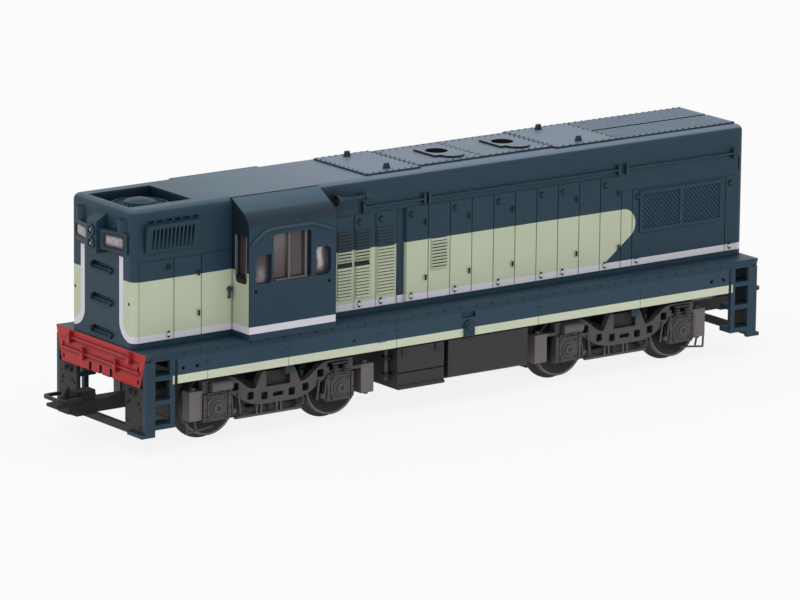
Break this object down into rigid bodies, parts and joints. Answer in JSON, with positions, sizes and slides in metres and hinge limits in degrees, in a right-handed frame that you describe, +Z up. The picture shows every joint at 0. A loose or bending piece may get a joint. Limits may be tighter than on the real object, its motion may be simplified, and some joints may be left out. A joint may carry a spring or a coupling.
{
  "type": "model diesel locomotive",
  "caption": "Small-scale model of a road-switcher diesel locomotive with a short and a long hood, a wide cab, two swivelling four-wheel bogies and hook-and-loop couplers.",
  "frame": {"origin": "below the middle of the deck, on the floor that the wheel flanges stand on", "axes": "+X along the body towards the long hood's end, +Y to the left of the short hood end's travel, +Z up"},
  "size_m": [0.1662, 0.033, 0.047],
  "materials": {
    "body_blue": "semi-matt dark slate blue moulded plastic with cream and white bands",
    "beam_red": "semi-matt red painted plastic",
    "bogie_grey": "matt dark warm grey plastic",
    "black_plastic": "matt black plastic",
    "cast_weight": "raw cast metal",
    "wheel_metal": "turned metal",
    "glass": "clear brownish glazing",
    "lamp": "clear lamp lens",
    "silver": "silver printed frame"
  },
  "bodies": {
    "hull": {"battery_box": "bogie_grey", "bogie_bolsters": "bogie_grey", "cab": "body_blue", "cab_end_glass": "glass", "cab_floor": "black_plastic", "cab_roof_panel": "body_blue", "cab_side_glass": "glass", "cab_window_frames": "silver", "drain_pipes": "body_blue", "exhaust_stacks": "black_plastic", "front_beam": "beam_red", "front_left_steps": "body_blue", "front_pilot": "bogie_grey", "front_right_steps": "body_blue", "fuel_fillers": "body_blue", "fuel_tank": "bogie_grey", "headlamp_lenses": "lamp", "hood_doors": "body_blue", "hood_handrails": "body_blue", "horn": "body_blue", "lamp_housing": "body_blue", "long_hood": "body_blue", "louvred_doors": "body_blue", "motor_and_weight": "cast_weight", "nose_louvres": "body_blue", "number_boards_glass": "glass", "radiator_roof_grilles": "body_blue", "radiator_side_grilles": "body_blue", "rear_beam": "beam_red", "rear_left_steps": "body_blue", "rear_pilot": "bogie_grey", "rear_right_steps": "body_blue", "roof_fan": "body_blue", "roof_hatches": "body_blue", "short_hood": "body_blue", "side_sills": "body_blue", "walkway_deck": "body_blue"},
    "front_bogie": {"front_bogie_axleboxes": "bogie_grey", "front_bogie_brake_gear": "bogie_grey", "front_bogie_gearbox_frame": "cast_weight", "front_bogie_sand_boxes": "bogie_grey", "front_bogie_side_frames": "bogie_grey"},
    "rear_bogie": {"rear_bogie_axleboxes": "bogie_grey", "rear_bogie_brake_gear": "bogie_grey", "rear_bogie_gearbox_frame": "cast_weight", "rear_bogie_sand_boxes": "bogie_grey", "rear_bogie_side_frames": "bogie_grey"},
    "front_wheelset_a": {"front_wheelset_a": "wheel_metal"},
    "front_wheelset_b": {"front_wheelset_b": "wheel_metal"},
    "rear_wheelset_a": {"rear_wheelset_a": "wheel_metal"},
    "rear_wheelset_b": {"rear_wheelset_b": "wheel_metal"},
    "front_coupler": {"front_coupler_arm": "black_plastic", "front_coupler_loop": "black_plastic"},
    "rear_coupler": {"rear_coupler_arm": "black_plastic", "rear_coupler_loop": "black_plastic"}
  },
  "joints": [
    {"name": "front_bogie_swivel", "type": "hinge", "parent": "hull", "child": "front_bogie", "pos_m": [-0.041, 0, 0.013], "axis": [0, 0, 1], "range_deg": [-8, 8]},
    {"name": "front_wheelset_a_turn", "type": "hinge", "parent": "front_bogie", "child": "front_wheelset_a", "pos_m": [-0.055, 0, 0.00675], "axis": [0, 1, 0], "continuous": true},
    {"name": "front_wheelset_b_turn", "type": "hinge", "parent": "front_bogie", "child": "front_wheelset_b", "pos_m": [-0.027, 0, 0.00675], "axis": [0, 1, 0], "continuous": true},
    {"name": "front_coupler_swing", "type": "hinge", "parent": "front_bogie", "child": "front_coupler", "pos_m": [-0.063, 0, 0.008], "axis": [0, 0, 1], "range_deg": [-10, 10]},
    {"name": "rear_bogie_swivel", "type": "hinge", "parent": "hull", "child": "rear_bogie", "pos_m": [0.041, 0, 0.013], "axis": [0, 0, 1], "range_deg": [-8, 8]},
    {"name": "rear_wheelset_a_turn", "type": "hinge", "parent": "rear_bogie", "child": "rear_wheelset_a", "pos_m": [0.027, 0, 0.00675], "axis": [0, 1, 0], "continuous": true},
    {"name": "rear_wheelset_b_turn", "type": "hinge", "parent": "rear_bogie", "child": "rear_wheelset_b", "pos_m": [0.055, 0, 0.00675], "axis": [0, 1, 0], "continuous": true},
    {"name": "rear_coupler_swing", "type": "hinge", "parent": "rear_bogie", "child": "rear_coupler", "pos_m": [0.063, 0, 0.008], "axis": [0, 0, 1], "range_deg": [-10, 10]}
  ]
}
